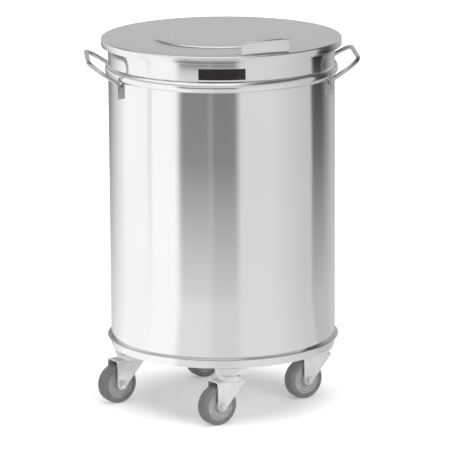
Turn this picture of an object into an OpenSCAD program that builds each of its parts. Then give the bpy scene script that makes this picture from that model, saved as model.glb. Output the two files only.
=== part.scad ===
// Wheeled stainless-steel bucket: a round bin with a lift-off lid, two bar handles
// and four swivel casters. Millimetres, +Z up, the front faces -Y. The origin is on
// the floor below the middle of the bin.

/* [Bin] */
// Outside diameter of the cylindrical wall
body_d = 460; // [400:1:560]
// Height from the band's lower edge to the top of the rolled rim
body_h = 634; // [450:1:800]
// Thickness of the bin's sheet
wall_t = 1.2; // [0.8:0.1:1.6]
// Outside diameter of the rolled rim's curl
curl_d = 11; // [8:0.5:12]
// Height of the swaged hoop
hoop_h = 22.5; // [16:0.5:30]
// How far the hoop stands out from the wall
hoop_out = 7; // [4:0.5:8]
// Distance from the rim's top down to the middle of the hoop
hoop_drop = 62; // [50:1:90]

/* [Base] */
// Height of the band round the base
band_h = 16; // [12:0.5:24]
// Thickness of the band
band_t = 1.5; // [1.2:0.1:2]
// Width of the band's turned-in lower lip
band_lip = 3; // [2:0.5:3.5]
// Height of the groove between the band and the wall
groove_h = 2.5; // [1.5:0.5:5]
// Height of the floor's underside above the band's lower edge
floor_rise = 6; // [4:0.5:9]
// Height of the floor's upstand
floor_lip_h = 10; // [5:0.5:12]

/* [Side handles] */
// Diameter of the handle bar
bar_d = 9; // [7:0.5:11]
// Distance between the middles of a handle's two legs
handle_w = 196; // [160:1:210]
// Distance from the wall out to the middle of the grip
handle_reach = 42; // [38:1:65]
// Height of the grip above the bend at the wall
handle_rise = 39; // [30:1:50]
// Length of each leg's tail, down the wall from the bend
tail_h = 30; // [24:1:45]
// Bend radius between tail and leg, at the bar's middle
tail_bend_r = 10; // [8:0.5:12]
// Bend radius between leg and grip, at the bar's middle
grip_bend_r = 40; // [30:1:44]
// Distance from the hoop's lower edge down to the bend
bend_drop = 2.5; // [2.5:0.5:8]

/* [Lid] */
// Overhang of the lid beyond the wall
lid_overhang = 14; // [13:0.5:18]
// Thickness of the lid's sheet
lid_t = 1.2; // [0.8:0.1:1.6]
// Height of the lid's skirt
skirt_h = 15.5; // [12:0.5:22]
// Radius of the edge between the lid's top and its skirt
lid_edge_r = 3; // [2:0.25:4]
// Diameter of the raised disc
disc_d = 282; // [200:1:320]
// Height of the raised disc
disc_rise = 3; // [2:0.25:6]

/* [Lid grip] */
// Width of the upright plate
grip_w = 102; // [70:1:120]
// Height of the upright plate
grip_h = 28; // [22:0.5:36]
// Thickness of the plate
grip_t = 1.5; // [1:0.1:2]
// Depth of the foot that lies on the lid
foot_w = 22; // [18:0.5:28]
// Depth of the rolled-back lip along the plate's top
lip_w = 9; // [6:0.5:12]
// Distance from the lid's edge to the plate's outer face
grip_inset = 14; // [10:0.5:24]
// Turn of the grip from the front towards the right side
grip_turn = 18; // [-180:1:180]
// Diameter of the rivets' shanks
rivet_d = 4; // [3:0.5:5]
// Diameter of the rivets' heads
rivet_head_d = 8; // [6.5:0.5:10]

/* [Wheels] */
// Wheel diameter
wheel_d = 80; // [75:1:100]
// Width of the tread
tread_w = 28; // [24:1:34]
// Thickness of the tyre
tyre_t = 10; // [7:0.5:12]
// Diameter of the hub
hub_d = 24; // [20:1:28]
// Distance that the hub stands out from each side of the tread
hub_proud = 2; // [1:0.5:4]
// Diameter of the bush that the wheel turns on
bush_d = 12; // [11:0.5:14]
// Diameter of the axle bolt
axle_d = 8; // [6:0.5:8]
// Distance across the flats of the axle bolt's head and nut
axle_af = 13; // [12:0.5:15]

/* [Forks] */
// Thickness of the fork's sheet
fork_t = 2.5; // [2:0.25:3.5]
// Distance from the swivel axis back to the wheel's axle
trail = 33; // [26:1:38]
// Gap between the top of the wheel and the fork's crown
crown_gap = 9; // [6:0.5:14]
// Reach of the crown ahead of the swivel axis
crown_front = 24; // [20:1:28]
// Reach of the legs behind the axle
leg_back = 10; // [9:0.5:14]
// Outside radius of the fork's shoulders
shoulder_r = 7; // [5:0.5:9]
// Direction in which the wheels trail at rest, from +X
caster_turn = 210; // [0:1:359]

/* [Swivel heads] */
// Diameter of the head
head_d = 54; // [50:1:56]
// Height from the fork's crown to the top plate
head_h = 13.5; // [13:0.5:18]
// Diameter of the ball circle
ball_circle_d = 38; // [34:1:40]
// Diameter of a ball
ball_d = 6; // [5:0.25:6.5]
// Number of balls
balls = 14; // [8:1:16]
// Diameter of the kingpin
kingpin_d = 12; // [10:0.5:14]
// Width of the square top plate
plate_w = 62; // [60:1:66]
// Thickness of the top plate
plate_t = 3; // [2.5:0.25:4]
// Distance between the plate's holes
hole_pitch = 46; // [45:0.5:48]
// Diameter of the plate's bolts
bolt_d = 6; // [5:0.5:6]
// Distance across the flats of a plate bolt's head and nut
bolt_af = 10; // [8:0.5:10]
// Distance from the wall in to the swivel axis
caster_inset = 38; // [38:1:60]
// Height of the pads that carry the plates
pad_h = 18; // [16:0.5:24]
// Thickness of the pads' sheet
pad_t = 2.5; // [2:0.25:3]

/* [Fits] */
// Gap between pieces that rest on or beside each other
seat_gap = 0.3; // [0.2:0.05:0.5]
// Radial clearance of a turning fit
run_gap = 0.05; // [0.02:0.01:0.1]
// Radial clearance of a bolt or rivet in its hole
hole_gap = 0.25; // [0.1:0.05:0.5]
// Gap between the hub's end and the fork's leg
hub_gap = 1; // [0.5:0.25:2]

/* [Hidden] */
$fn = 96;
// Directions of the four casters round the bin, from +X
FRONT = 270;
RIGHT = 0;
BACK = 90;
LEFT = 180;
eps = 0.01;

// Heights of the caster, from the floor up
axle_z = wheel_d / 2;
crown_z = wheel_d + crown_gap;
crown_top = crown_z + fork_t;
plate_z = crown_top + head_h;
plate_top = plate_z + plate_t;

// Heights of the bin
floor_z = plate_top + pad_h;
base_z = floor_z - floor_rise;
band_top = base_z + band_h;
shoulder_z = band_top + groove_h;
rim_z = base_z + body_h;
hoop_z = rim_z - hoop_drop;

// Radii of the bin
body_r = body_d / 2;
neck_r = body_r - band_t;
curl_r = curl_d / 2;
curl_x = body_r - wall_t + curl_r;
curl_z = rim_z - curl_r;
hoop_r = (pow(hoop_h / 2, 2) + pow(hoop_out, 2)) / (2 * hoop_out);
hoop_x = body_r + hoop_out - hoop_r;
swivel_r = body_r - caster_inset;

// Lid
lid_r = body_r + lid_overhang;
lid_z = rim_z + seat_gap;
lid_top = lid_z + lid_t;
grip_r = lid_r - grip_inset;
rivet_r = grip_r - grip_t - foot_w / 2;
rivet_side = 0.36 * grip_w;
rivet_head_h = 0.4 * rivet_d;
grip_corner_r = 9;
lip_inset = 12;

// Handle
bar_r = bar_d / 2;
leg_y = handle_w / 2;
tail_x = sqrt(pow(body_r + bar_r + seat_gap, 2) - pow(leg_y, 2));
bend_z = hoop_z - hoop_h / 2 - bend_drop;
leg_run = body_r + handle_reach - tail_x;
leg_slope = atan2(handle_rise, leg_run);
leg_length = norm([leg_run, handle_rise]);
tail_tangent = tail_bend_r * tan((90 - leg_slope) / 2);
Y = [0, 1, 0];
leg_way = [cos(leg_slope), 0, sin(leg_slope)];
leg_up = [-sin(leg_slope), 0, cos(leg_slope)];
bend_middle = [tail_x + tail_bend_r, -leg_y, bend_z - tail_tangent];
corner_middle = [tail_x, grip_bend_r - leg_y, bend_z] + (leg_length - grip_bend_r) * leg_way;
bar_sides = 24;
tail_steps = 6;
grip_steps = 14;

// Wheel and fork
hub_w = tread_w + 2 * hub_proud;
fork_gap = hub_w + 2 * hub_gap;
fork_w = fork_gap + 2 * fork_t;
crown_h = 2 * fork_t;
core_r = wheel_d / 2 - tyre_t;
rim_w = tread_w - 4;
rim_t = 4;
web_w = 0.72 * tread_w;
tread_edge_r = tyre_t / 2;
axle_head_h = 0.65 * axle_d;
axle_nut_h = 0.85 * axle_d;
nut_flange_r = 0.72 * axle_af;
nut_flange_h = 1.2;
thread_end = 1.5;

// Swivel head
head_r = head_d / 2;
kingpin_r = kingpin_d / 2;
kingpin_head_r = kingpin_r + 2.5;
kingpin_foot_r = kingpin_r + 4;
kingpin_foot_h = 4;
race_bore_r = kingpin_r + 3;
race_bite = 0.3 * ball_d;
cup_t = 1.4;
cup_gap = 0.6;
ball_z = crown_top + head_h / 2;

// Pad and its fasteners: the pad clears the corners of the nuts inside it
bolt_head_h = 0.65 * bolt_d;
bolt_nut_h = 0.8 * bolt_d;
bolt_end = 1;
pad_w = hole_pitch + bolt_af / cos(30) + 2 * (seat_gap + pad_t);

// Sheet-metal outline helpers

module box2(x0, x1, z0, z1) {
    translate([x0, z0]) square([x1 - x0, z1 - z0]);
}

module ring2(x, z, r_out, r_in) {
    translate([x, z]) difference() {
        circle(r = r_out);
        circle(r = r_in);
    }
}

module hex_prism(af, h) {
    cylinder(d = af / cos(30), h = h, $fn = 6);
}

// Cylinder from z0 to z1
module post(r, z0, z1) {
    translate([0, 0, z0]) cylinder(r = r, h = z1 - z0);
}

// Places a caster's piece: x runs along the trail, y along the axle
module at_caster(direction) {
    translate([swivel_r * cos(direction), swivel_r * sin(direction), 0])
        rotate([0, 0, caster_turn]) children();
}

// Places a piece that is square to the bin under its wall
module at_pad(direction) {
    rotate([0, 0, direction]) translate([swivel_r, 0, 0]) children();
}

// Turns a piece of revolution onto the wheel's axle
module on_axle() {
    translate([trail, 0, axle_z]) rotate([-90, 0, 0]) children();
}

module plate_holes() {
    for (sx = [-1, 1], sy = [-1, 1])
        translate([sx * hole_pitch / 2, sy * hole_pitch / 2, 0]) children();
}

// Bin

module wall_outline() {
    box2(neck_r - wall_t, neck_r, base_z + band_t, shoulder_z);
    box2(neck_r - wall_t, body_r, shoulder_z - wall_t + eps, shoulder_z + eps);
    box2(body_r - wall_t, body_r, shoulder_z, hoop_z - hoop_h / 2 + wall_t / 2);
    intersection() {
        ring2(hoop_x, hoop_z, hoop_r, hoop_r - wall_t);
        box2(body_r - wall_t, body_r + hoop_out + 1, hoop_z - hoop_r, hoop_z + hoop_r);
    }
    box2(body_r - wall_t, body_r, hoop_z + hoop_h / 2 - wall_t / 2, curl_z);
    difference() {
        ring2(curl_x, curl_z, curl_r, curl_r - wall_t);
        translate([curl_x, curl_z]) polygon([[0, 0], [-curl_d, 0], [-curl_d, -curl_d], [-curl_d / 3, -curl_d]]);
    }
}

module bin_wall() {
    color("gainsboro") rotate_extrude() wall_outline();
}

module bin_floor() {
    pan_r = neck_r - wall_t;
    color("silver") rotate_extrude() {
        box2(0, pan_r, floor_z, floor_z + wall_t);
        box2(pan_r - wall_t, pan_r, floor_z, floor_z + floor_lip_h);
    }
}

module base_band() {
    color("gainsboro") rotate_extrude() {
        box2(neck_r, body_r, base_z, band_top);
        box2(body_r - band_lip, body_r, base_z, base_z + band_t);
    }
}

// Side handles: one bent bar each. A station of the bar's path is its middle and the
// two directions that span its section.

function mirrored(v) = [v.x, -v.y, v.z];

function tail_station(a) = let (t = [sin(a), 0, -cos(a)])
    [bend_middle + tail_bend_r * [cos(a), 0, sin(a)], Y, cross(t, Y)];

function grip_station(a) = let (t = cos(a) * leg_way + sin(a) * Y)
    [corner_middle + grip_bend_r * (sin(a) * leg_way - cos(a) * Y), cross(leg_up, t), leg_up];

// From the end of one tail to the middle of the grip
bar_half = concat(
    [[[tail_x, -leg_y, bend_z - tail_h], Y, [-1, 0, 0]]],
    [for (i = [0 : tail_steps]) tail_station(180 - (90 - leg_slope) * i / tail_steps)],
    [for (i = [0 : grip_steps]) grip_station(90 * i / grip_steps)]
);

bar_path = concat(
    bar_half,
    [for (i = [len(bar_half) - 1 : -1 : 0]) [for (v = bar_half[i]) mirrored(v)]]
);

module swept_bar(path, r) {
    last = len(path) - 1;
    points = [for (s = path, j = [0 : bar_sides - 1]) let (a = 360 * j / bar_sides)
        s[0] + r * (cos(a) * s[1] + sin(a) * s[2])];
    sides = [for (i = [0 : last - 1], j = [0 : bar_sides - 1]) let (k = (j + 1) % bar_sides)
        [i * bar_sides + j, (i + 1) * bar_sides + j, (i + 1) * bar_sides + k, i * bar_sides + k]];
    first_end = [for (j = [0 : bar_sides - 1]) j];
    last_end = [for (j = [bar_sides - 1 : -1 : 0]) last * bar_sides + j];
    polyhedron(points, concat(sides, [first_end, last_end]));
}

module side_handle() {
    color("lightgray") swept_bar(bar_path, bar_r);
}

module handle_right() {
    side_handle();
}

module handle_left() {
    mirror([1, 0, 0]) side_handle();
}

// Lid

module lid_outline() {
    disc_r = disc_d / 2;
    slope_end = disc_r + disc_rise + lid_t;
    box2(0, disc_r, lid_z + disc_rise, lid_top + disc_rise);
    polygon([
        [disc_r - eps, lid_top + disc_rise], [disc_r - eps, lid_z + disc_rise],
        [slope_end - lid_t, lid_z], [slope_end, lid_z], [slope_end, lid_top]
    ]);
    box2(slope_end - eps, lid_r - lid_edge_r, lid_z, lid_top);
    intersection() {
        ring2(lid_r - lid_edge_r, lid_top - lid_edge_r, lid_edge_r, lid_edge_r - lid_t);
        box2(lid_r - lid_edge_r, lid_r, lid_top - lid_edge_r, lid_top);
    }
    box2(lid_r - lid_t, lid_r, lid_top - skirt_h, lid_top - lid_edge_r);
}

module at_rivets() {
    rotate([0, 0, grip_turn - 90])
        for (side = [-1, 0, 1]) translate([rivet_r, side * rivet_side, 0]) children();
}

module lid_sheet() {
    color("darkgray") difference() {
        rotate_extrude() lid_outline();
        at_rivets() post(rivet_d / 2 + hole_gap, lid_z - 1, lid_top + 1);
    }
}

// Plate outline: upright with two round upper corners
module grip_face() {
    half = grip_w / 2;
    inner = half - grip_corner_r;
    translate([-half, 0]) square([grip_w, grip_h - grip_corner_r]);
    translate([-inner, 0]) square([2 * inner, grip_h]);
    for (side = [-1, 1]) translate([side * inner, grip_h - grip_corner_r]) circle(r = grip_corner_r);
}

module lid_grip() {
    color("whitesmoke") difference() {
        rotate([0, 0, grip_turn - 90]) translate([grip_r, 0, lid_top]) {
            translate([-grip_t, 0, 0]) rotate([90, 0, 90]) linear_extrude(grip_t) grip_face();
            translate([-grip_t - foot_w, -grip_w / 2, 0]) cube([foot_w + grip_t, grip_w, grip_t]);
            translate([-grip_t - lip_w, lip_inset - grip_w / 2, grip_h - grip_t])
                cube([lip_w + grip_t, grip_w - 2 * lip_inset, grip_t]);
        }
        at_rivets() post(rivet_d / 2 + hole_gap, lid_top - 1, lid_top + grip_t + 1);
    }
}

// Rivets through the grip's foot and the lid, with a head at each end
module grip_rivets() {
    seat_z = lid_top + grip_t;
    color("gray") at_rivets() {
        post(rivet_d / 2, lid_z - rivet_head_h, seat_z + rivet_head_h);
        post(rivet_head_d / 2, lid_z - rivet_head_h, lid_z);
        post(rivet_head_d / 2, seat_z, seat_z + rivet_head_h);
    }
}

// Pads and caster plates

// Square tray below the floor, open at its top, that a caster's plate is bolted to
module pad(direction) {
    half = pad_w / 2;
    color("silver") at_pad(direction) difference() {
        translate([-half, -half, plate_top]) cube([pad_w, pad_w, pad_h]);
        translate([pad_t - half, pad_t - half, plate_top + pad_t])
            cube([pad_w - 2 * pad_t, pad_w - 2 * pad_t, pad_h]);
        plate_holes() post(bolt_d / 2 + hole_gap, plate_top - 1, plate_top + pad_t + 1);
    }
}

// Fixed half of the swivel head: the top plate with the upper ball race below it
module plate(direction) {
    half = plate_w / 2;
    race_z = ball_z + ball_d / 2 - race_bite;
    color("lightsteelblue") at_pad(direction) difference() {
        union() {
            translate([-half, -half, plate_z]) cube([plate_w, plate_w, plate_t]);
            post(head_r - cup_t - cup_gap, race_z, plate_z + eps);
        }
        post(kingpin_r, race_z - 1, plate_top + 1);
        post(kingpin_head_r, plate_top - plate_t / 2, plate_top + 1);
        post(race_bore_r, race_z - 1, plate_z - 2);
        translate([0, 0, ball_z]) rotate_extrude()
            translate([ball_circle_d / 2, 0]) circle(r = ball_d / 2 + run_gap);
        plate_holes() post(bolt_d / 2 + hole_gap, plate_z - 1, plate_top + 1);
    }
}

module kingpin(direction) {
    foot_top = crown_z - seat_gap;
    color("gray") at_caster(direction) {
        post(kingpin_r, foot_top - kingpin_foot_h, plate_top);
        post(kingpin_head_r, plate_top - plate_t / 2, plate_top);
        post(kingpin_foot_r, foot_top - kingpin_foot_h, foot_top);
    }
}

module balls(direction) {
    color("white") at_caster(direction)
        for (i = [0 : balls - 1]) rotate([0, 0, i * 360 / balls])
            translate([ball_circle_d / 2, 0, ball_z]) sphere(d = ball_d, $fn = 32);
}

// Bolts from below the plates, with the nuts inside the pads
module plate_bolts() {
    color("gray") for (direction = [FRONT, RIGHT, BACK, LEFT]) at_pad(direction) plate_holes() {
        translate([0, 0, plate_z - bolt_head_h]) hex_prism(bolt_af, bolt_head_h);
        post(bolt_d / 2, plate_z - eps, plate_top + pad_t + bolt_d + bolt_end);
    }
}

module plate_nuts() {
    color("silver") for (direction = [FRONT, RIGHT, BACK, LEFT]) at_pad(direction) plate_holes()
        translate([0, 0, plate_top + pad_t]) difference() {
            hex_prism(bolt_af, bolt_nut_h);
            post(bolt_d / 2, -1, bolt_d);
        }
}

// Fork

// Side outline of the fork, along the trail and up
module fork_side() {
    back = trail + leg_back;
    hull() {
        translate([trail, axle_z]) circle(r = leg_back, $fn = 32);
        translate([-crown_front, crown_top - crown_h]) square([back + crown_front, crown_h]);
    }
}

// End-on outline: a channel with round shoulders, open downwards
module fork_channel() {
    difference() {
        channel(fork_w / 2, crown_top, shoulder_r);
        channel(fork_gap / 2, crown_z, shoulder_r - fork_t);
    }
}

module channel(half, top, r) {
    translate([-half, 0]) square([2 * half, top - r]);
    translate([r - half, 0]) square([2 * (half - r), top]);
    for (side = [-1, 1]) translate([side * (half - r), top - r]) circle(r = r);
}

// Lower ball race: a cup that turns under the plate's race and hides the balls
module race_cup() {
    cup_top = plate_z - bolt_head_h - 1;
    race_top = ball_z - ball_d / 2 + race_bite;
    difference() {
        post(head_r, crown_z, cup_top);
        post(head_r - cup_t, race_top, cup_top + 1);
        post(race_bore_r, crown_top, cup_top + 1);
        translate([0, 0, ball_z]) rotate_extrude()
            translate([ball_circle_d / 2, 0]) circle(r = ball_d / 2 + run_gap);
    }
}

module fork(direction) {
    color("gainsboro") at_caster(direction) difference() {
        union() {
            intersection() {
                rotate([90, 0, 0]) translate([0, 0, -fork_w])
                    linear_extrude(2 * fork_w) fork_side();
                rotate([90, 0, 90]) translate([0, 0, -2 * head_d])
                    linear_extrude(4 * head_d) fork_channel();
            }
            race_cup();
        }
        post(kingpin_r + run_gap, crown_z - 1, plate_z);
        on_axle() post(axle_d / 2 + hole_gap, -fork_w, fork_w);
    }
}

// Axle and wheel

module axle_bush(direction) {
    color("silver") at_caster(direction) on_axle() difference() {
        post(bush_d / 2, -fork_gap / 2, fork_gap / 2);
        post(axle_d / 2 + hole_gap, -fork_gap, fork_gap);
    }
}

module axle_bolt(direction) {
    color("gray") at_caster(direction) on_axle() {
        translate([0, 0, -fork_w / 2 - axle_head_h]) hex_prism(axle_af, axle_head_h);
        post(axle_d / 2, -fork_w / 2 - eps, fork_w / 2 + axle_nut_h + thread_end);
    }
}

module axle_nut(direction) {
    color("silver") at_caster(direction) on_axle() translate([0, 0, fork_w / 2]) difference() {
        union() {
            hex_prism(axle_af, axle_nut_h);
            post(nut_flange_r, 0, nut_flange_h);
        }
        post(axle_d / 2, -1, axle_nut_h + 1);
    }
}

module wheel_core(direction) {
    bore_r = bush_d / 2 + run_gap;
    color("darkgray") at_caster(direction) on_axle() rotate_extrude() {
        box2(bore_r, hub_d / 2, -hub_w / 2, hub_w / 2);
        box2(hub_d / 2 - eps, core_r, -web_w / 2, web_w / 2);
        box2(core_r - rim_t, core_r, -rim_w / 2, rim_w / 2);
    }
}

module tyre(direction) {
    half = tread_w / 2;
    round_r = core_r + tyre_t - tread_edge_r;
    color("dimgray") at_caster(direction) on_axle() rotate_extrude() {
        box2(core_r, round_r, -half, half);
        box2(core_r, core_r + tyre_t, tread_edge_r - half, half - tread_edge_r);
        for (side = [-1, 1]) translate([round_r, side * (half - tread_edge_r)])
            circle(r = tread_edge_r);
    }
}

bin_wall();
bin_floor();
base_band();
handle_left();
handle_right();
lid_sheet();
lid_grip();
grip_rivets();
plate_bolts();
plate_nuts();
pad(FRONT);  // pad_front
plate(FRONT);  // plate_front
kingpin(FRONT);  // kingpin_front
balls(FRONT);  // balls_front
fork(FRONT);  // fork_front
axle_bush(FRONT);  // axle_bush_front
axle_bolt(FRONT);  // axle_bolt_front
axle_nut(FRONT);  // axle_nut_front
wheel_core(FRONT);  // wheel_core_front
tyre(FRONT);  // tyre_front
pad(RIGHT);  // pad_right
plate(RIGHT);  // plate_right
kingpin(RIGHT);  // kingpin_right
balls(RIGHT);  // balls_right
fork(RIGHT);  // fork_right
axle_bush(RIGHT);  // axle_bush_right
axle_bolt(RIGHT);  // axle_bolt_right
axle_nut(RIGHT);  // axle_nut_right
wheel_core(RIGHT);  // wheel_core_right
tyre(RIGHT);  // tyre_right
pad(BACK);  // pad_back
plate(BACK);  // plate_back
kingpin(BACK);  // kingpin_back
balls(BACK);  // balls_back
fork(BACK);  // fork_back
axle_bush(BACK);  // axle_bush_back
axle_bolt(BACK);  // axle_bolt_back
axle_nut(BACK);  // axle_nut_back
wheel_core(BACK);  // wheel_core_back
tyre(BACK);  // tyre_back
pad(LEFT);  // pad_left
plate(LEFT);  // plate_left
kingpin(LEFT);  // kingpin_left
balls(LEFT);  // balls_left
fork(LEFT);  // fork_left
axle_bush(LEFT);  // axle_bush_left
axle_bolt(LEFT);  // axle_bolt_left
axle_nut(LEFT);  // axle_nut_left
wheel_core(LEFT);  // wheel_core_left
tyre(LEFT);  // tyre_left
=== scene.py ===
"""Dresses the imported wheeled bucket: its sheet metal, handles, casters and plate, and a plain studio."""

import itertools
import math

import bmesh
import bpy
from bpy.props import FloatProperty, FloatVectorProperty, IntProperty, PointerProperty
from bpy.types import Operator, Panel, PropertyGroup
from mathutils import Matrix, Vector


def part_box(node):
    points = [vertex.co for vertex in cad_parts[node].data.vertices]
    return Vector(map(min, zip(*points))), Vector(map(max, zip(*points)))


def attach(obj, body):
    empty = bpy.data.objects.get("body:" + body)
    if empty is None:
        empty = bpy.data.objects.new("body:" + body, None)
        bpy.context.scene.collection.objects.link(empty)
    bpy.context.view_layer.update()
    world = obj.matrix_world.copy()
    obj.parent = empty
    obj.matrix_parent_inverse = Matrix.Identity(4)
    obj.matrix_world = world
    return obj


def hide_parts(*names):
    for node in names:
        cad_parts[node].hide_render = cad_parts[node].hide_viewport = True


bl_info = {
    "name": "Wheeled Bucket",
    "version": (1, 0, 0),
    "blender": (4, 5, 0),
    "location": "3D View > Sidebar > Bucket",
    "description": "Sheet metal, casters and studio for a wheeled steel bucket",
    "category": "Object",
}

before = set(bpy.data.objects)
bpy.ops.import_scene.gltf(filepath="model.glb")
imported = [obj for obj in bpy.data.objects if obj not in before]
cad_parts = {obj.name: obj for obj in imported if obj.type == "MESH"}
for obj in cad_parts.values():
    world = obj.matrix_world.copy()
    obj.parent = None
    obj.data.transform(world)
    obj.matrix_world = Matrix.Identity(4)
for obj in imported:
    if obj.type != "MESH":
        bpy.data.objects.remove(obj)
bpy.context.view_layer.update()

# Directions of the casters round the bin, from +X
CASTERS = {"front": -90, "right": 0, "back": 90, "left": 180}
UP = Vector((0, 0, 1))
FRONT = Vector((0, -1, 0))
WHITE = (1, 1, 1, 1)
# The camera's place to the left of the front, its look down and its tilt, in degrees
VIEW, PITCH, ROLL = 4.3, 12.59, 0.35
# Points closer than this are one
WELD = 1e-6
# Radius of the small bends in the neck and along the band
SMALL_BEND = 0.0008

# The studio's cards round the bin. Each one's ends are in degrees to the right of the camera, followed by
# its level at the foot, at half a metre and above
CARDS = {
    "open studio on the left": (-180, -145, 0.58, 0.20, 0.46),
    "white card": (-105, -74, 0.95, 0.95, 0.94),
    "gap in the white card": (-71.5, -70.5, 0.95, 0.65, 0.94),
    "white card, near end": (-68, -43, 0.98, 0.98, 0.94),
    "dark flag": (-37, -13, 0.75, 0.08, 0.70),
    "gap in the dark flag": (-11, -9, 0.70, 0.20, 0.66),
    "dark flag, near end": (-7, 12, 0.66, 0.08, 0.66),
    "pale card": (17, 46, 0.72, 0.68, 0.66),
    "pale card, far end": (82, 93, 0.60, 0.54, 0.55),
    "black flag": (96, 112, 0.50, 0.00, 0.08),
    "open studio on the right": (135, 180, 0.54, 0.40, 0.46),
}


def length(name, description, default):
    kind = {"unit": "LENGTH", "subtype": "DISTANCE"}
    return FloatProperty(name=name, description=description, default=default, min=0, **kind)


def angle(name, description, degrees):
    return FloatProperty(name=name, description=description, default=math.radians(degrees), subtype="ANGLE")


def colour(name, description, default):
    kind = {"size": 3, "min": 0, "max": 1, "subtype": "COLOR"}
    return FloatVectorProperty(name=name, description=description, default=default, **kind)


def watts(name, description, default):
    return FloatProperty(name=name, description=description, default=default, min=0, unit="POWER")


def number(name, description, default):
    return FloatProperty(name=name, description=description, default=default, min=0)


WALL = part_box("bin_wall")
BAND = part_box("base_band")
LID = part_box("lid_sheet")
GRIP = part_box("lid_grip")
WALL_T = 0.0012


class BinSettings(PropertyGroup):
    radius: length("Radius", "Outside radius of the wall", BAND[1].x)
    sheet: length("Sheet", "Thickness of the sheet", WALL_T)
    neck: length("Neck", "How far the lower end steps in behind the band", 0.0015)
    groove: length("Groove", "Height of the groove above the band", 0.0025)
    hoop: length("Hoop", "Height of the swaged hoop", 0.0225)
    hoop_out: length("Hoop Depth", "How far the hoop stands out", 0.007)
    hoop_drop: length("Hoop Drop", "Distance from the rim down to the hoop's middle", 0.062)
    hoop_fillet: length("Hoop Fillet", "Radius where the hoop runs into the wall", 0.0018)
    curl: length("Curl", "Outside radius of the rolled rim", 0.0055)
    lip: length("Band Lip", "Width of the band's turned-in lip", 0.003)
    band_bend: length("Band Bend", "Radius of the band's lower bend", 0.002)
    band_sheet: length("Band Sheet", "Thickness of the band", 0.0015)
    pan_bend: length("Pan Bend", "Radius of the bend round the floor pan", 0.004)
    pan_ring: length("Pan Ring", "Radius of the ring of edges on the flat of the pan", 0.12)
    seam: length("Seam", "Width of the weld down the back of the wall", 0.005)
    seam_end: length("Seam End", "Distance of the weld's ends from the groove and the hoop", 0.002)
    steps: IntProperty(name="Steps", description="Steps round the bin", default=224, min=48, max=512)


class LidSettings(PropertyGroup):
    disc: length("Disc", "Radius of the raised disc", 0.141)
    rise: length("Rise", "Height of the raised disc", 0.003)
    step_top: length("Step Top", "Radius of the sharp bend round the disc", 0.0015)
    step_foot: length("Step Foot", "Radius of the soft bend below it", 0.006)
    edge: length("Edge", "Radius of the outer edge", 0.003)
    hem: length("Hem", "Radius of the hem along the skirt's lower edge", 0.0011)
    grip_width: length("Grip Width", "Width of the upright plate", 0.102)
    grip_corner: length("Grip Corner", "Radius of the plate's upper corners", 0.009)
    grip_inset: length("Lip Inset", "Distance from the plate's side to the lip's end", 0.012)
    grip_bend: length("Grip Bend", "Outside radius of the plate's bends", 0.0025)
    grip_foot: length("Grip Foot", "Depth of the grip's foot", 0.0235)
    grip_lip: length("Grip Lip", "Depth of the rolled-back lip", 0.0105)
    grip_sheet: length("Grip Sheet", "Thickness of the plate", 0.0015)
    grip_edge: length("Grip Edge", "Radius of the plate's broken edges", 0.0003)
    grip_radius: length("Grip Place", "Distance of the plate's face from the lid's middle", 0.230)
    grip_turn: angle("Grip Turn", "Turn of the grip from the front", 18)


class HandleSettings(PropertyGroup):
    bar: length("Bar", "Radius of the bar", 0.0045)
    bar_edge: length("Bar Edge", "Radius of the bar's cut ends", 0.0008)
    half: length("Half Width", "Half of the distance between the legs", 0.098)
    tail: length("Tail", "Length of the tail below the bend", 0.030)
    tail_bend: length("Tail Bend", "Radius of the bend at the wall", 0.010)
    grip_bend: length("Grip Bend", "Radius of the corners of the grip", 0.040)
    rise: length("Rise", "Height of the grip above the bend", 0.039)
    weld: length("Weld", "Width of the weld beads", 0.004)
    bend_drop: length("Bend Drop", "Distance from the hoop's middle down to the bend", 0.01375)


class CasterSettings(PropertyGroup):
    inset: length("Inset", "Distance from the wall in to the swivel axis", 0.038)
    trail: length("Trail", "Distance from the swivel axis to the axle", 0.033)
    turn: angle("Turn", "Direction in which the wheels trail", 210)
    wheel: length("Wheel", "Radius of the wheel", 0.040)
    tread: length("Tread", "Width of the tread", 0.028)
    tyre: length("Tyre", "Thickness of the tyre", 0.010)
    shoulder: length("Tyre Shoulder", "Radius of the tyre's shoulders", 0.006)
    bore: length("Bore", "Radius of the wheel's bore", 0.00605)
    hub: length("Hub", "Radius of the hub", 0.012)
    hub_half: length("Hub Half Width", "Half of the hub's width", 0.016)
    hub_edge: length("Hub Edge", "Radius of the hub's edges", 0.0008)
    rim_half: length("Rim Half Width", "Half of the width of the centre's rim", 0.012)
    rim_wall: length("Rim Wall", "Thickness of the centre's rim", 0.004)
    web_half: length("Web Half Width", "Half of the web's thickness", 0.01008)
    web_bend: length("Web Bend", "Radius where the web meets rim and hub", 0.001)
    edge: length("Worn Edge", "Radius of the pressed parts' edges", 0.0004)


class PlateSettings(PropertyGroup):
    width: length("Width", "Width of the plate", 0.0935)
    height: length("Height", "Height of the plate", 0.022)
    middle: length("Middle", "Height of the plate's middle", 0.7177)
    turn: angle("Turn", "Turn of the plate from the front towards the left", 4.0)
    thick: length("Thickness", "Thickness of the plate", 0.0009)
    border: length("Border", "Width of the raised border", 0.0012)
    sink: length("Sink", "Depth of the field inside the border", 0.0003)


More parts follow.
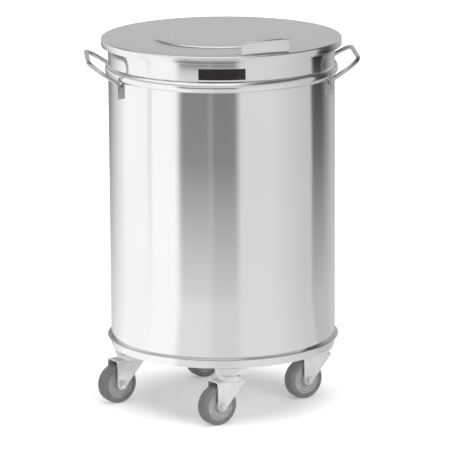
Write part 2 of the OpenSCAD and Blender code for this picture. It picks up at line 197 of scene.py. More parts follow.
class FinishSettings(PropertyGroup):
    steel: colour("Steel", "Colour of the brushed sheet", (0.80, 0.81, 0.81))
    lid: colour("Lid", "Colour of the lid's sheet", (0.80, 0.80, 0.79))
    zinc: colour("Zinc", "Colour of the plated parts", (0.88, 0.89, 0.90))
    rubber: colour("Rubber", "Colour of the tyres", (0.24, 0.24, 0.24))
    core: colour("Core", "Colour of the wheel centres", (0.46, 0.46, 0.46))
    plate: colour("Plate", "Colour of the bare plate", (0.022, 0.014, 0.017))
    floor: colour("Floor", "Colour of the studio floor", (0.86, 0.86, 0.86))


class StudioSettings(PropertyGroup):
    floor: length("Floor", "Radius of the floor", 14)
    screen: length("Screen", "Radius of the screen that the metal reflects", 1.1)
    screen_height: length("Screen Height", "Height of the screen", 1.6)
    screen_glow: number("Screen Glow", "Strength of a card whose level is 1", 1.2)
    surround: number("Surround", "Strength of the soft light from all sides", 0.42)
    overhead: watts("Overhead", "Power of the lamp above, in watts", 38)
    key: watts("Key", "Power of the lamp at the right, in watts", 50)


class BucketSettings(PropertyGroup):
    bin: PointerProperty(type=BinSettings)
    lid: PointerProperty(type=LidSettings)
    handle: PointerProperty(type=HandleSettings)
    caster: PointerProperty(type=CasterSettings)
    plate: PointerProperty(type=PlateSettings)
    finish: PointerProperty(type=FinishSettings)
    studio: PointerProperty(type=StudioSettings)


# Materials


class Nodes:
    """Builds a material's nodes, each linked from the ones before it."""

    def __init__(self, name):
        self.material = bpy.data.materials.new(name)
        self.material.use_nodes = True
        self.tree = self.material.node_tree
        self.tree.nodes.clear()

    def add(self, kind, inputs=None, **settings):
        node = self.tree.nodes.new(kind)
        for key, value in settings.items():
            setattr(node, key, value)
        for key, value in (inputs or {}).items():
            if isinstance(value, bpy.types.NodeSocket):
                self.tree.links.new(value, node.inputs[key])
            else:
                node.inputs[key].default_value = value
        return node

    def place(self, scale):
        """Object coordinates, scaled along each axis."""
        source = self.add("ShaderNodeTexCoord").outputs["Object"]
        return self.add("ShaderNodeMapping", {"Vector": source, "Scale": scale}).outputs["Vector"]

    def noise(self, scale, detail=3.0, rough=0.5):
        at = self.place(scale)
        node = self.add("ShaderNodeTexNoise", {"Vector": at, "Scale": 1.0, "Detail": detail, "Roughness": rough})
        return node.outputs["Fac"]

    def between(self, value, low, high, at=(0.3, 0.7)):
        """Runs from low to high while the value runs between the places in at."""
        ends = {"From Min": at[0], "From Max": at[1], "To Min": low, "To Max": high}
        return self.add("ShaderNodeMapRange", {"Value": value, **ends}).outputs["Result"]

    def split(self, vector):
        return self.add("ShaderNodeSeparateXYZ", {"Vector": vector}).outputs

    def tint(self, factor, first, second):
        """A colour between two. The Mix node's colour sockets are 6 and 7 in, and 2 out."""
        node = self.add("ShaderNodeMix", {0: factor, 6: (*first, 1), 7: (*second, 1)}, data_type="RGBA")
        return node.outputs[2]

    def ramp(self, value, stops):
        """Levels along a value, given as (place, level)."""
        node = self.add("ShaderNodeValToRGB", {"Fac": value})
        marks = node.color_ramp.elements
        for at, level in stops[1:-1]:
            marks.new(at)
        for mark, (at, level) in zip(marks, stops):
            mark.position = at
            mark.color = (level, level, level, 1)
        return node.outputs["Color"]

    def bump(self, height, strength, distance):
        node = self.add("ShaderNodeBump", {"Height": height, "Strength": strength, "Distance": distance})
        return node.outputs["Normal"]

    def surface(self, **inputs):
        named = {key.replace("_", " ").title().replace("Ior", "IOR"): value for key, value in inputs.items()}
        shader = self.add("ShaderNodeBsdfPrincipled", named)
        self.add("ShaderNodeOutputMaterial", {"Surface": shader.outputs["BSDF"]})
        return self.material


def shaded(base, factor):
    return tuple(c * factor for c in base)


def brushed(name, base, rough, anisotropy, flat=False):
    """Brushed sheet: fine rings round the wall, and straight lines on a flat top."""
    n = Nodes(name)
    grain = n.noise((2, 2, 900), 4.0, 0.6)
    cloud = n.noise((5, 5, 5), 2.0)
    if flat:
        facing = n.split(n.add("ShaderNodeNewGeometry").outputs["Normal"])
        up = n.between(facing["Z"], 0.0, 1.0, (0.4, 0.8))
        grain = n.between(up, grain, n.noise((6, 700, 6), 4.0, 0.6), (0, 1))
        side = n.between(up, 1.0, 0.0, (0, 1))
        tangent = n.add("ShaderNodeCombineXYZ", {"Y": up, "Z": side}).outputs["Vector"]
    else:
        tangent = n.add("ShaderNodeCombineXYZ", {"Z": 1.0}).outputs["Vector"]
    return n.surface(
        base_color=n.tint(n.between(cloud, 0.0, 1.0), shaded(base, 0.97), base),
        metallic=1.0,
        roughness=n.between(grain, rough * 0.88, rough * 1.12),
        anisotropic=anisotropy,
        tangent=tangent,
        normal=n.bump(grain, 0.05, 0.0002),
    )


def plated(name, base, rough, metal=1.0):
    """Zinc plate: cloudy, with fine pits, and hazed where it isn't all metal."""
    n = Nodes(name)
    cloud = n.noise((60, 60, 60), 3.0)
    pits = n.noise((900, 900, 900), 2.0)
    return n.surface(
        base_color=n.tint(n.between(cloud, 0.0, 1.0), shaded(base, 0.86), base),
        metallic=metal,
        roughness=n.between(cloud, rough * 1.25, rough * 0.85),
        normal=n.bump(pits, 0.05, 0.0002),
    )


def moulded(name, base, rough, grain, depth):
    """Rubber or plastic, scuffed a little."""
    n = Nodes(name)
    scuff = n.noise((90, 90, 90), 5.0, 0.65)
    fine = n.noise((grain, grain, grain), 2.0)
    return n.surface(
        base_color=n.tint(n.between(scuff, 0.0, 1.0), shaded(base, 0.82), shaded(base, 1.1)),
        roughness=n.between(scuff, rough * 0.85, rough * 1.1),
        specular_ior_level=0.4,
        normal=n.bump(fine, depth, 0.0002),
    )


def finishes():
    return bpy.context.scene.bucket.finish


MADE = {}


def material(name):
    """The named finish, made when it is first asked for."""
    if name not in MADE:
        f = finishes()
        MADE[name] = {
            "wall": lambda: brushed("brushed_wall", f.steel, 0.13, 0.35),
            "lid": lambda: brushed("brushed_lid", f.lid, 0.20, 0.3, flat=True),
            "grip": lambda: brushed("brushed_grip", f.steel, 0.20, 0.3),
            "bar": lambda: plated("drawn_bar", shaded(f.steel, 0.72), 0.16),
            "weld": lambda: plated("weld_bead", shaded(f.steel, 0.8), 0.32),
            "zinc": lambda: plated("zinc_plate", f.zinc, 0.30, 0.45),
            "fastener": lambda: plated("zinc_fastener", shaded(f.zinc, 0.9), 0.34, 0.7),
            "ball": lambda: plated("bearing_steel", f.zinc, 0.12),
            "rubber": lambda: moulded("grey_rubber", f.rubber, 0.62, 700, 0.12),
            "core": lambda: moulded("grey_plastic", f.core, 0.45, 500, 0.05),
            "plate": lambda: moulded("dark_plate", f.plate, 0.22, 400, 0.01),
        }[name]()
    return MADE[name]


# Mesh helpers


def pen(bm, x, z):
    return bm.verts.new((x, 0, z))


def line(bm, vert, x, z):
    made = bmesh.ops.extrude_vert_indiv(bm, verts=[vert])["verts"][0]
    made.co = (x, 0, z)
    return made


def arc(bm, vert, x, z, degrees, steps):
    """Carries the outline round (x, z), anticlockwise as seen from the front."""
    made = bmesh.ops.spin(bm, geom=[vert], cent=(x, 0, z), axis=(0, -1, 0), angle=math.radians(degrees), steps=steps)
    return made["geom_last"][0]


def revolve(bm, steps):
    """Spins the outline once round Z, with its poles and its seam closed."""
    outline = bm.verts[:] + bm.edges[:]
    bmesh.ops.spin(bm, geom=outline, cent=(0, 0, 0), axis=UP, angle=2 * math.pi, steps=steps, use_merge=True)
    bmesh.ops.remove_doubles(bm, verts=bm.verts[:], dist=WELD)
    bmesh.ops.recalc_face_normals(bm, faces=bm.faces[:])


def only(kind, geom):
    """The verts, edges or faces among what an operator returns."""
    return [g for g in geom if isinstance(g, kind)]


def round_edges(bm, edges, radius, segments):
    bmesh.ops.bevel(
        bm,
        geom=edges,
        offset=radius,
        offset_type="OFFSET",
        segments=segments,
        profile=0.5,
        affect="EDGES",
        clamp_overlap=True,
        material=-1,
    )


def sharp_edges(bm, degrees):
    return [e for e in bm.edges if len(e.link_faces) == 2 and e.calc_face_angle(0) > math.radians(degrees)]


def thicken(bm, thickness, outward):
    """Gives a shell its thickness. outward is a point's way out, to tell which way the faces look."""
    face = max(bm.faces, key=lambda f: f.calc_center_median().dot(outward))
    if face.normal.dot(outward) < 0:
        bmesh.ops.reverse_faces(bm, faces=bm.faces[:])
    bmesh.ops.solidify(bm, geom=bm.faces[:], thickness=thickness)
    bmesh.ops.recalc_face_normals(bm, faces=bm.faces[:])


def piece(name, bm, body, finish, replaces=(), crease=32):
    """Makes the mesh a piece of the bucket, smooth but for its sharp edges."""
    for edge in bm.edges:
        edge.smooth = len(edge.link_faces) == 2 and edge.calc_face_angle(0) < math.radians(crease)
    for face in bm.faces:
        face.smooth = True
    mesh = bpy.data.meshes.new(name)
    bm.to_mesh(mesh)
    bm.free()
    obj = bpy.data.objects.new(name, mesh)
    bpy.context.scene.collection.objects.link(obj)
    mesh.materials.append(material(finish))
    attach(obj, body)
    if replaces:
        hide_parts(*replaces)
    return obj


def caster_place(way):
    """A caster's own frame: x runs along the trail and y along the axle."""
    s = bpy.context.scene.bucket
    reach = s.bin.radius - s.caster.inset
    way = math.radians(CASTERS[way])
    pin = Matrix.Translation((reach * math.cos(way), reach * math.sin(way), 0))
    return pin @ Matrix.Rotation(s.caster.turn, 4, "Z")


def axle_place(way):
    c = bpy.context.scene.bucket.caster
    return caster_place(way) @ Matrix.Translation((c.trail, 0, c.wheel)) @ Matrix.Rotation(-math.pi / 2, 4, "X")


def copied(node, bevel):
    """A CAD node's mesh, merged, with its edges broken."""
    bm = bmesh.new()
    bm.from_mesh(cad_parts[node].data)
    for layer in list(bm.loops.layers.uv):
        bm.loops.layers.uv.remove(layer)
    bmesh.ops.remove_doubles(bm, verts=bm.verts[:], dist=2 * WELD)
    bmesh.ops.dissolve_limit(bm, angle_limit=math.radians(1), verts=bm.verts[:], edges=bm.edges[:])
    round_edges(bm, sharp_edges(bm, 35), bevel, 2)
    return bm


# Pieces


class BUCKET_OT_bin(Operator):
    """Spins the wall with its hoop and rolled rim, the floor pan and the base band"""

    bl_idname = "bucket.bin"
    bl_label = "Bin"

    def execute(self, context):
        s = context.scene.bucket.bin
        inner = s.radius - s.sheet
        rim, hoop = WALL[1].z, WALL[1].z - s.hoop_drop
        foot, shoulder = WALL[0].z, BAND[1].z + s.groove
        bm = bmesh.new()
        at = pen(bm, inner - s.neck, foot)
        ledge = shoulder - s.sheet
        at = line(bm, at, inner - s.neck, ledge - SMALL_BEND)
        at = arc(bm, at, inner - s.neck + SMALL_BEND, ledge - SMALL_BEND, -90, 3)
        at = line(bm, at, inner - SMALL_BEND, ledge)
        at = arc(bm, at, inner - SMALL_BEND, ledge + SMALL_BEND, 90, 3)
        # The swage runs into the wall through a small fillet at each end
        r = ((s.hoop / 2) ** 2 + s.hoop_out**2) / (2 * s.hoop_out) - s.sheet
        middle = s.radius + s.hoop_out - s.sheet - r
        fillet = inner + s.hoop_fillet
        side = math.sqrt((r + s.hoop_fillet) ** 2 - (fillet - middle) ** 2)
        turn = math.degrees(math.atan2(side, fillet - middle))
        for up in (0.25, 0.5, 0.75, 1):
            at = line(bm, at, inner, shoulder + (hoop - side - shoulder) * up)
        at = arc(bm, at, fillet, hoop - side, -turn, 4)
        at = arc(bm, at, middle, hoop, 2 * turn, 20)
        at = arc(bm, at, fillet, hoop + side, -turn, 4)
        at = line(bm, at, inner, rim - s.curl)
        at = arc(bm, at, inner + s.curl, rim - s.curl, -300, 24)
        revolve(bm, s.steps)
        thicken(bm, s.sheet, FRONT)
        piece("wall_shell", bm, "bin", "wall", ["bin_wall"])

        bm = bmesh.new()
        at = pen(bm, s.radius - s.lip, BAND[0].z)
        at = line(bm, at, s.radius - s.band_bend, BAND[0].z)
        at = arc(bm, at, s.radius - s.band_bend, BAND[0].z + s.band_bend, 90, 5)
        at = line(bm, at, s.radius, BAND[1].z)
        revolve(bm, s.steps)
        thicken(bm, s.band_sheet, FRONT)
        piece("band_shell", bm, "bin", "wall", ["base_band"])

        low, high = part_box("bin_floor")
        bm = bmesh.new()
        at = pen(bm, 0, low.z)
        at = line(bm, at, s.pan_ring, low.z)
        at = line(bm, at, high.x - s.pan_bend, low.z)
        at = arc(bm, at, high.x - s.pan_bend, low.z + s.pan_bend, 90, 5)
        at = line(bm, at, high.x, high.z)
        revolve(bm, s.steps)
        thicken(bm, s.sheet, FRONT)
        piece("floor_pan", bm, "bin", "wall", ["bin_floor"])

        # The wall's seam: a low bead down the back
        bm = bmesh.new()
        tall = hoop - side - shoulder - 2 * s.seam_end
        bmesh.ops.create_cone(bm, cap_ends=True, segments=16, radius1=s.seam / 2, radius2=s.seam / 2, depth=tall)
        bmesh.ops.scale(bm, vec=(1, 0.3, 1), verts=bm.verts[:])
        bmesh.ops.translate(bm, vec=(0, s.radius - 0.0003, shoulder + s.seam_end + tall / 2), verts=bm.verts[:])
        piece("wall_seam", bm, "bin", "weld")
        return {"FINISHED"}


class BUCKET_OT_lid(Operator):
    """Spins the lid and folds its upright grip"""

    bl_idname = "bucket.lid"
    bl_label = "Lid"

    def execute(self, context):
        s = context.scene.bucket.lid
        top, low, edge = LID[1].z - s.rise, LID[0].z, LID[1].x
        bm = bmesh.new()
        at = pen(bm, 0, top + s.rise)
        for share in (0.35, 0.7):
            at = line(bm, at, s.disc * share, top + s.rise)
        # The step is sharp above and runs out softly below, with a slope of 45 degrees between
        at = line(bm, at, s.disc - 0.001, top + s.rise)
        at = arc(bm, at, s.disc - 0.001, top + s.rise - s.step_top, -45, 4)
        at = line(bm, at, s.disc + s.rise - 0.00214, top + 0.00176)
        at = arc(bm, at, s.disc + s.rise + 0.0021, top + s.step_foot, 45, 6)
        at = line(bm, at, s.disc + 0.05, top)
        at = line(bm, at, edge - s.edge, top)
        at = arc(bm, at, edge - s.edge, top - s.edge, -90, 8)
        at = line(bm, at, edge, low + s.hem)
        at = arc(bm, at, edge - s.hem, low + s.hem, -90, 4)
        at = line(bm, at, edge - 0.004, low)
        revolve(bm, 224)
        thicken(bm, WALL_T, UP)
        piece("lid_shell", bm, "lid", "lid", ["lid_sheet"])

        self.grip(s)
        return {"FINISHED"}

    def grip(self, s):
        """The upright face with its round corners, then the foot and the lip folded back from it."""
        face, bend = s.grip_radius, s.grip_bend
        half, lip = s.grip_width / 2, s.grip_width / 2 - s.grip_inset
        low, high = GRIP[0].z, GRIP[1].z
        bm = bmesh.new()
        low, high = low + bend, high - bend
        outline = ((-half, low), (half, low), (half, high), (lip, high), (-lip, high), (-half, high))
        corners = [bm.verts.new((face, y, z)) for y, z in outline]
        bm.faces.new(corners)
        foot = bm.edges.get(corners[:2])
        top = bm.edges.get(corners[3:5])
        foot = self.fold(bm, foot, Vector((face - bend, 0, low)), math.pi / 2)
        self.reach(bm, foot, s.grip_foot - bend)
        top = self.fold(bm, top, Vector((face - bend, 0, high)), -math.pi / 2)
        self.reach(bm, top, s.grip_lip - bend)
        bmesh.ops.bevel(
            bm,
            geom=[corners[2], corners[5]],
            offset=s.grip_corner,
            offset_type="OFFSET",
            segments=8,
            profile=0.5,
            affect="VERTICES",
            clamp_overlap=False,
            material=-1,
        )
        bmesh.ops.recalc_face_normals(bm, faces=bm.faces[:])
        thicken(bm, s.grip_sheet, Vector((1, 0, 0)))
        round_edges(bm, sharp_edges(bm, 50), s.grip_edge, 2)
        turn = Matrix.Rotation(s.grip_turn - math.pi / 2, 3, "Z")
        bmesh.ops.rotate(bm, cent=(0, 0, 0), matrix=turn, verts=bm.verts[:])
        piece("grip_plate", bm, "lid", "grip", ["lid_grip"])

    def fold(self, bm, edge, centre, turn):
        """Bends the sheet on from an edge and gives back the new edge."""
        geom = [edge, *edge.verts]
        made = bmesh.ops.spin(bm, geom=geom, cent=centre, axis=(0, 1, 0), angle=turn, steps=5)["geom_last"]
        return only(bmesh.types.BMEdge, made)[0]

    def reach(self, bm, edge, distance):
        """Carries the sheet on from an edge towards the lid's middle."""
        made = bmesh.ops.extrude_edge_only(bm, edges=[edge])["geom"]
        bmesh.ops.translate(bm, vec=(-distance, 0, 0), verts=only(bmesh.types.BMVert, made))


class BUCKET_OT_handles(Operator):
    """Bends the two side handles and lays their welds"""

    bl_idname = "bucket.handles"
    bl_label = "Side Handles"

    def execute(self, context):
        s = context.scene.bucket.handle
        b = context.scene.bucket.bin
        low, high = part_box("handle_right")
        tail_x = low.x + s.bar
        bend_z = WALL[1].z - b.hoop_drop - s.bend_drop
        run = high.x - s.bar - tail_x
        slope = math.atan2(s.rise, run)
        leg = math.hypot(run, s.rise)
        setback = s.tail_bend * math.tan((math.pi / 2 - slope) / 2)
        out = Vector((math.cos(slope), 0, math.sin(slope)))
        lift = Vector((-math.sin(slope), 0, math.cos(slope)))
        start = Vector((tail_x, -s.half, bend_z))
        tail, arm = s.tail - setback, leg - setback - s.grip_bend
        tail_centre = start + Vector((s.tail_bend, 0, -setback))
        corner = start + out * (leg - s.grip_bend) + Vector((0, s.grip_bend, 0))
        across = Vector((1, -1, 1))
        for name, mirror in (("handle_right", False), ("handle_left", True)):
            bm = bmesh.new()
            place = Matrix.Translation(start - UP * s.tail)
            bmesh.ops.create_circle(bm, segments=28, radius=s.bar, matrix=place)
            ring = bm.verts[:] + bm.edges[:]
            ring = self.straight(bm, ring, UP * tail)
            ring = self.bend(bm, ring, tail_centre, Vector((0, 1, 0)), math.pi / 2 - slope, 8)
            ring = self.straight(bm, ring, out * arm)
            ring = self.bend(bm, ring, corner, lift, math.pi / 2, 20)
            ring = self.straight(bm, ring, Vector((0, 2 * (s.half - s.grip_bend), 0)))
            ring = self.bend(bm, ring, corner * across, lift, math.pi / 2, 20)
            ring = self.straight(bm, ring, -out * arm)
            ring = self.bend(bm, ring, tail_centre * across, Vector((0, -1, 0)), math.pi / 2 - slope, 8)
            self.straight(bm, ring, UP * -tail)
            bmesh.ops.holes_fill(bm, edges=bm.edges[:], sides=64)
            round_edges(bm, sharp_edges(bm, 60), s.bar_edge, 3)
            if mirror:
                bmesh.ops.scale(bm, vec=(-1, 1, 1), verts=bm.verts[:])
            bmesh.ops.recalc_face_normals(bm, faces=bm.faces[:])
            piece(name.replace("handle", "bar_handle"), bm, "bin", "bar", [name])
        self.welds(s, tail_x, bend_z)
        return {"FINISHED"}

    def welds(self, s, tail_x, bend_z):
        """A bead down each side of each tail, in the corner between bar and wall."""
        pitch, first, long = 0.0045, 0.003, 0.0036
        shape = Matrix.Diagonal((s.weld / 2, s.weld / 2, long, 1))
        bm = bmesh.new()
        for side_x, side_y, side in itertools.product((-1, 1), repeat=3):
            foot = Vector((side_x * tail_x, side_y * s.half, 0))
            inward = -foot.normalized()
            middle = foot + inward * (s.bar * 0.75) + UP.cross(inward) * side * s.bar * 0.62
            for step in range(5):
                place = Matrix.Translation(middle + UP * (bend_z - s.tail + first + step * pitch))
                bmesh.ops.create_uvsphere(bm, u_segments=12, v_segments=8, radius=1, matrix=place @ shape)
        piece("handle_welds", bm, "bin", "weld")

    def straight(self, bm, ring, way):
        """Carries the bar's end straight on and gives back its new ring."""
        made = bmesh.ops.extrude_edge_only(bm, edges=only(bmesh.types.BMEdge, ring))["geom"]
        verts = only(bmesh.types.BMVert, made)
        bmesh.ops.translate(bm, vec=way, verts=verts)
        return verts + [e for e in only(bmesh.types.BMEdge, made) if set(e.verts) <= set(verts)]

    def bend(self, bm, ring, centre, axis, turn, steps):
        """Carries the bar's end round a bend and gives back its new ring."""
        return bmesh.ops.spin(bm, geom=ring, cent=centre, axis=axis, angle=turn, steps=steps)["geom_last"]


class BUCKET_OT_wheels(Operator):
    """Spins the tyres and the wheel centres"""

    bl_idname = "bucket.wheels"
    bl_label = "Wheels"

    def execute(self, context):
        s = context.scene.bucket.caster
        half, core = s.tread / 2, s.wheel - s.tyre
        for way in CASTERS:
            bm = bmesh.new()
            at = first = pen(bm, core, -half)
            at = line(bm, at, s.wheel - s.shoulder, -half)
            at = arc(bm, at, s.wheel - s.shoulder, -half + s.shoulder, 90, 10)
            at = line(bm, at, s.wheel, half - s.shoulder)
            at = arc(bm, at, s.wheel - s.shoulder, half - s.shoulder, 90, 10)
            at = line(bm, at, core, half)
            bm.edges.new((at, first))
            revolve(bm, 112)
            bmesh.ops.transform(bm, matrix=axle_place(way), verts=bm.verts[:])
            piece("tyre_shell_" + way, bm, "wheel_" + way, "rubber", ["tyre_" + way])
            self.centre(way, core)
        return {"FINISHED"}

    def centre(self, way, core):
        """The moulded centre: a hub, a flat web at each side and a rim under the tyre."""
        s = bpy.context.scene.bucket.caster
        wall, bend, edge = core - s.rim_wall, s.web_bend, s.hub_edge
        bm = bmesh.new()
        at = first = pen(bm, s.bore, -s.hub_half)
        at = line(bm, at, s.hub - edge, -s.hub_half)
        at = arc(bm, at, s.hub - edge, edge - s.hub_half, 90, 3)
        at = line(bm, at, s.hub, -s.web_half - bend)
        at = arc(bm, at, s.hub + bend, -s.web_half - bend, -90, 3)
        at = line(bm, at, wall - bend, -s.web_half)
        at = arc(bm, at, wall - bend, -s.web_half - bend, -90, 3)
        for x, z in ((wall, -s.rim_half), (core, -s.rim_half), (core, s.rim_half), (wall, s.rim_half)):
            at = line(bm, at, x, z)
        at = line(bm, at, wall, s.web_half + bend)
        at = arc(bm, at, wall - bend, s.web_half + bend, -90, 3)
        at = line(bm, at, s.hub + bend, s.web_half)
        at = arc(bm, at, s.hub + bend, s.web_half + bend, -90, 3)
        at = line(bm, at, s.hub, s.hub_half - edge)
        at = arc(bm, at, s.hub - edge, s.hub_half - edge, 90, 3)
        at = line(bm, at, s.bore, s.hub_half)
        bm.edges.new((at, first))
        revolve(bm, 96)
        bmesh.ops.transform(bm, matrix=axle_place(way), verts=bm.verts[:])
        piece("centre_" + way, bm, "wheel_" + way, "core", ["wheel_core_" + way])


class BUCKET_OT_forks(Operator):
    """Breaks the edges of the forks, pads and axle and plate fasteners, and plates them and the other caster parts
    """

    bl_idname = "bucket.forks"
    bl_label = "Forks and Fasteners"

    def execute(self, context):
        s = context.scene.bucket.caster
        bare = {"plate": "zinc", "kingpin": "fastener", "balls": "ball", "axle_bush": "ball"}
        for way in CASTERS:
            fork = "fork_" + way
            piece("pressed_" + fork, copied(fork, s.edge), fork, "zinc", [fork])
            piece("pad_tray_" + way, copied("pad_" + way, s.edge), "bin", "zinc", ["pad_" + way])
            for kind in ("bolt", "nut"):
                node = f"axle_{kind}_{way}"
                piece(f"broken_{node}", copied(node, s.edge), fork, "fastener", [node])
            for node, finish in bare.items():
                self.finish(f"{node}_{way}", finish)
        for node in ("plate_bolts", "plate_nuts"):
            piece(f"broken_{node}", copied(node, s.edge), "bin", "fastener", [node])
        self.finish("grip_rivets", "fastener")
        return {"FINISHED"}

    def finish(self, node, name):
        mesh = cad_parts[node].data
        mesh.materials.clear()
        mesh.materials.append(material(name))


class BUCKET_OT_plate(Operator):
    """Bends the bare dark plate round the collar"""

    bl_idname = "bucket.plate"
    bl_label = "Bare Plate"

    def execute(self, context):
        s = context.scene.bucket.plate
        inside = context.scene.bucket.bin.radius
        outside, turn = inside + s.thick, s.width / inside
        low, high = s.middle - s.height / 2, s.middle + s.height / 2
        bm = bmesh.new()
        for x, z in ((inside, low), (outside, low), (outside, high), (inside, high)):
            pen(bm, x, z)
        end = bm.faces.new(bm.verts[:])
        edges = bm.edges[:]
        bmesh.ops.delete(bm, geom=[end], context="FACES_ONLY")
        bmesh.ops.spin(bm, geom=bm.verts[:] + edges, cent=(0, 0, 0), axis=UP, angle=turn, steps=24)
        bmesh.ops.holes_fill(bm, edges=bm.edges[:], sides=8)
        bmesh.ops.recalc_face_normals(bm, faces=bm.faces[:])
        front = [f for f in bm.faces if f.calc_center_median().xy.length > inside + s.thick * 0.8]
        bmesh.ops.inset_region(bm, faces=front, thickness=s.border, depth=0, use_even_offset=True)
        bmesh.ops.inset_region(bm, faces=front, thickness=0.0002, depth=-s.sink, use_even_offset=True)
        start = Matrix.Rotation(-math.pi / 2 - s.turn - turn / 2, 3, "Z")
        bmesh.ops.rotate(bm, cent=(0, 0, 0), matrix=start, verts=bm.verts[:])
        piece("bare_plate", bm, "bin", "plate")
        return {"FINISHED"}


class BUCKET_OT_stage(Operator):
    """Makes the floor, the studio's cards and lamps, and the camera"""

    bl_idname = "bucket.stage"
    bl_label = "Studio"

    def execute(self, context):
        scene = context.scene
        s = scene.bucket.studio
        scene.view_settings.view_transform = "Standard"
        self.floor(s)
        self.world(scene)
        self.screen(s)
        self.lamp("overhead_lamp", (0, -0.4, 3.2), 3.0, s.overhead)
        self.lamp("key_lamp", (1.9, -3.2, 1.7), 1.6, s.key)
        self.camera(scene)
        return {"FINISHED"}

    def stand(self, bm, n):
        """Puts a mesh on the stage with its material."""
        name = n.material.name
        mesh = bpy.data.meshes.new(name)
        bm.to_mesh(mesh)
        bm.free()
        mesh.materials.append(n.material)
        obj = bpy.data.objects.new(name, mesh)
        bpy.context.scene.collection.objects.link(obj)
        return obj

    def turned(self, n):
        """Object coordinates turned until +X points at the camera."""
        at = n.add("ShaderNodeTexCoord").outputs["Object"]
        turn = (0, 0, math.radians(90 + VIEW))
        return n.add("ShaderNodeMapping", {"Vector": at, "Rotation": turn}).outputs["Vector"]

    def levels(self, n, turned, column):
        """The cards' levels in one column of their table, laid round the bin."""
        radial = n.add("ShaderNodeTexGradient", {"Vector": turned}, gradient_type="RADIAL")
        stops = [(end / 360 + 0.5, card[column]) for card in CARDS.values() for end in card[:2]]
        return n.ramp(radial.outputs["Fac"], stops)

    def glow(self, n, level, strength):
        return n.add("ShaderNodeEmission", {"Color": level, "Strength": strength}).outputs["Emission"]

    def either(self, n, first, second):
        return n.add("ShaderNodeMath", {0: first, 1: second}, operation="MAXIMUM").outputs["Value"]

    def floor(self, s):
        """A matt floor. Close to the bin the camera sees its glow kept low, painted shade on top of the real shadow
        there, and further out it runs to white; metal sees the cards' feet carried on.
        """
        bm = bmesh.new()
        bmesh.ops.create_circle(bm, cap_ends=True, segments=96, radius=s.floor)
        n = Nodes("studio_floor")
        path = n.add("ShaderNodeLightPath").outputs
        at = n.add("ShaderNodeTexCoord").outputs["Object"]
        far = n.add("ShaderNodeVectorMath", {0: at}, operation="LENGTH").outputs["Value"]
        # Camera glow by distance from the bin: kept low close in as painted shade that deepens the real shadow,
        # rising to white further out
        white = n.ramp(far, [(0, 0.20), (0.15, 0.22), (0.22, 0.38), (0.28, 0.52), (0.45, 0.80), (0.9, 1.0)])
        direct = self.either(n, path["Is Camera Ray"], path["Is Transmission Ray"])
        glow = self.glow(n, WHITE, n.between(direct, 0.0, white, (0, 1)))
        matt = n.add("ShaderNodeBsdfDiffuse", {"Color": (*finishes().floor, 1)}).outputs["BSDF"]
        lit = n.add("ShaderNodeAddShader", {0: matt, 1: glow}).outputs["Shader"]
        mirrored = self.glow(n, self.levels(n, self.turned(n), 2), s.screen_glow)
        both = n.add("ShaderNodeMixShader", {0: path["Is Glossy Ray"], 1: lit, 2: mirrored})
        n.add("ShaderNodeOutputMaterial", {"Surface": both.outputs["Shader"]})
        self.stand(bm, n)

    def world(self, scene):
        """Soft light from all sides, and white for what the camera, metal and glass see."""
        world = bpy.data.worlds.new("studio")
        scene.world = world
        world.use_nodes = True
        n = Nodes.__new__(Nodes)
        n.tree = world.node_tree
        n.tree.nodes.clear()
        path = n.add("ShaderNodeLightPath").outputs
        either = self.either(n, path["Is Camera Ray"], path["Is Glossy Ray"])
        seen = self.either(n, either, path["Is Transmission Ray"])
        level = n.between(seen, scene.bucket.studio.surround, 1.0, (0, 1))
        light = n.add("ShaderNodeBackground", {"Color": WHITE, "Strength": level})
        n.add("ShaderNodeOutputWorld", {"Surface": light.outputs["Background"]})

    def screen(self, s):
        """A round, roofed screen with the cards on it, which only metal sees."""
        bm = bmesh.new()
        bmesh.ops.create_cone(
            bm, cap_ends=True, segments=96, radius1=s.screen, radius2=s.screen, depth=s.screen_height
        )
        bmesh.ops.translate(bm, vec=UP * s.screen_height / 2, verts=bm.verts[:])
        foot = min(bm.faces, key=lambda f: f.calc_center_median().z)
        bmesh.ops.delete(bm, geom=[foot], context="FACES_ONLY")
        n = Nodes("studio_screen")
        turned = self.turned(n)
        height = n.split(n.add("ShaderNodeTexCoord").outputs["Object"])["Z"]
        foot, half, above = (self.levels(n, turned, column) for column in (2, 3, 4))
        level = n.between(height, foot, half, (0, 0.5))
        level = n.between(height, level, above, (0.53, 0.60))
        # Higher up the cards fade to grey, but for the black flag
        grey = n.between(above, 0.08, 0.5, (0.1, 0.45))
        level = n.between(height, level, grey, (0.75, 0.95))
        # The roof is bright in front, and dark behind and at the right
        ahead, right = n.split(turned)["X"], n.split(turned)["Y"]
        roof = n.between(ahead, 0.20, 0.95, (-0.45, -0.05))
        roof = n.between(right, roof, 0.12, (0.2, 0.6))
        level = n.between(height, level, roof, (1.15, 1.35))
        n.add("ShaderNodeOutputMaterial", {"Surface": self.glow(n, level, s.screen_glow)})
        obj = self.stand(bm, n)
        obj.visible_camera = False
        obj.visible_diffuse = False
        obj.visible_shadow = False

    def lamp(self, name, place, size, power):
        """A square lamp that looks at the bin and isn't seen in the metal."""
        data = bpy.data.lights.new(name, "AREA")
        data.size = size
        data.energy = power
        obj = bpy.data.objects.new(name, data)
        bpy.context.scene.collection.objects.link(obj)
        way = Vector((0, 0, 0.35)) - Vector(place)
        obj.location = place
        obj.rotation_mode = "QUATERNION"
        obj.rotation_quaternion = way.to_track_quat("-Z", "Y")
        obj.visible_glossy = False

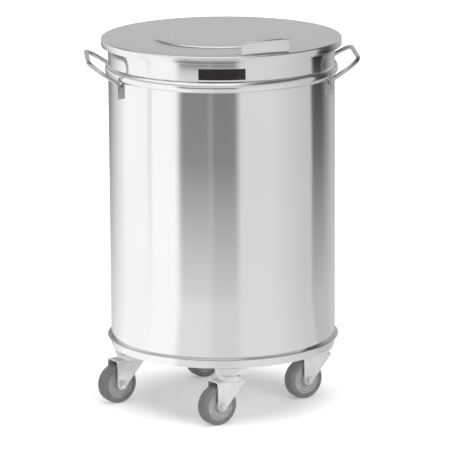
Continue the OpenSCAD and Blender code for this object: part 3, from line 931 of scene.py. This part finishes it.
    def camera(self, scene):
        data = bpy.data.cameras.new("camera")
        data.sensor_width = 36
        data.lens = 310.2
        data.clip_end = 100
        obj = bpy.data.objects.new("camera", data)
        scene.collection.objects.link(obj)
        turn, pitch, roll = math.radians(-VIEW), math.radians(PITCH), math.radians(ROLL)
        right = Vector((math.cos(turn), math.sin(turn), 0))
        ahead = Vector((-math.sin(turn), math.cos(turn), 0))
        obj.location = right * 0.0132 - ahead * 7.879 + UP * 2.115
        look = ahead * math.cos(pitch) - UP * math.sin(pitch)
        up = right.cross(look)
        side = right * math.cos(roll) - up * math.sin(roll)
        up = up * math.cos(roll) + right * math.sin(roll)
        obj.rotation_mode = "QUATERNION"
        obj.rotation_quaternion = Matrix((side, up, -look)).transposed().to_quaternion()
        scene.camera = obj


class BUCKET_PT_panel(Panel):
    bl_label = "Wheeled Bucket"
    bl_idname = "BUCKET_PT_panel"
    bl_space_type = "VIEW_3D"
    bl_region_type = "UI"
    bl_category = "Bucket"

    def draw(self, context):
        for operator in OPERATORS:
            self.layout.operator(operator.bl_idname)


OPERATORS = (
    BUCKET_OT_bin,
    BUCKET_OT_lid,
    BUCKET_OT_handles,
    BUCKET_OT_wheels,
    BUCKET_OT_forks,
    BUCKET_OT_plate,
    BUCKET_OT_stage,
)
SETTINGS = (
    BinSettings,
    LidSettings,
    HandleSettings,
    CasterSettings,
    PlateSettings,
    FinishSettings,
    StudioSettings,
    BucketSettings,
)


def register():
    for cls in (*SETTINGS, *OPERATORS, BUCKET_PT_panel):
        bpy.utils.register_class(cls)
    bpy.types.Scene.bucket = PointerProperty(type=BucketSettings)


def unregister():
    del bpy.types.Scene.bucket
    for cls in reversed((*SETTINGS, *OPERATORS, BUCKET_PT_panel)):
        bpy.utils.unregister_class(cls)


def main():
    register()
    bpy.ops.bucket.bin()
    bpy.ops.bucket.lid()
    bpy.ops.bucket.handles()
    bpy.ops.bucket.wheels()
    bpy.ops.bucket.forks()
    bpy.ops.bucket.plate()
    bpy.ops.bucket.stage()


if __name__ == "__main__":
    main()
